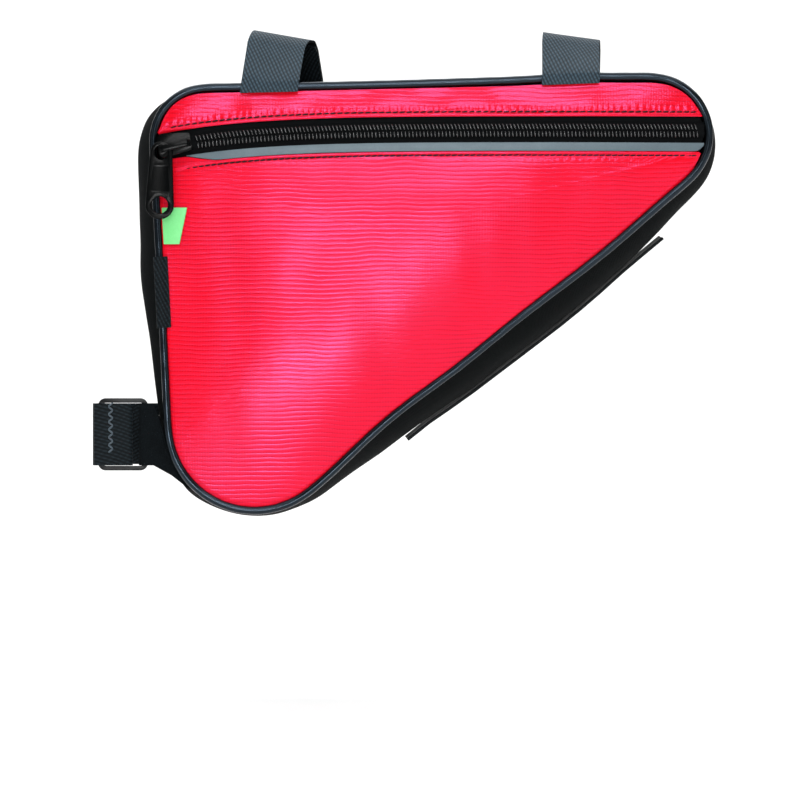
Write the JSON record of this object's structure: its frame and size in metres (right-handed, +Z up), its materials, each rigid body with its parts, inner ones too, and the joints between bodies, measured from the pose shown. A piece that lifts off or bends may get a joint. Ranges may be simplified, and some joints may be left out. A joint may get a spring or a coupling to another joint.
{
  "type": "bicycle frame bag",
  "caption": "Soft three-cornered pouch that straps under a bicycle's top tube and to its seat tube, with a zipped red face.",
  "frame": {"origin": "on the top tube's axis, midway between the two top straps", "axes": "+X forward along the top tube, +Y from the zipped face to the plain face, +Z up"},
  "size_m": [0.3277, 0.0741, 0.2576],
  "materials": {
    "red_coated_cloth": "glossy coated grid cloth",
    "black_cloth": "plain weave polyester",
    "webbing": "herringbone webbing",
    "piping": "smooth vinyl bead",
    "reflective": "grey reflective tape",
    "tag": "woven tag, bare",
    "zip_coil": "moulded coil",
    "ring_plastic": "moulded plastic",
    "lacquered_zinc": "black lacquer"
  },
  "bodies": {
    "bag": {"front_panel": "red_coated_cloth", "front_top_panel": "red_coated_cloth", "rear_panel": "red_coated_cloth", "reflective_strip": "reflective", "zip_tape_upper": "black_cloth", "zip_tape_lower": "black_cloth", "zip_coil": "zip_coil", "zip_slider": "lacquered_zinc", "gusset": "black_cloth", "gusset_flap": "black_cloth", "front_piping": "piping", "rear_piping": "piping", "piping_joint_tape": "webbing", "label_tab": "tag", "top_strap_left": "webbing", "top_tab_left": "webbing", "top_strap_right": "webbing", "top_tab_right": "webbing", "seat_strap": "webbing", "ring_tab": "webbing", "strap_ring": "ring_plastic"},
    "pull": {"zip_pull": "lacquered_zinc"}
  },
  "joints": [
    {"name": "pull_swing", "type": "hinge", "parent": "bag", "child": "pull", "pos_m": [-0.13766, -0.035, -0.04232], "axis": [0, 1, 0], "range_deg": [-60, 60]}
  ]
}
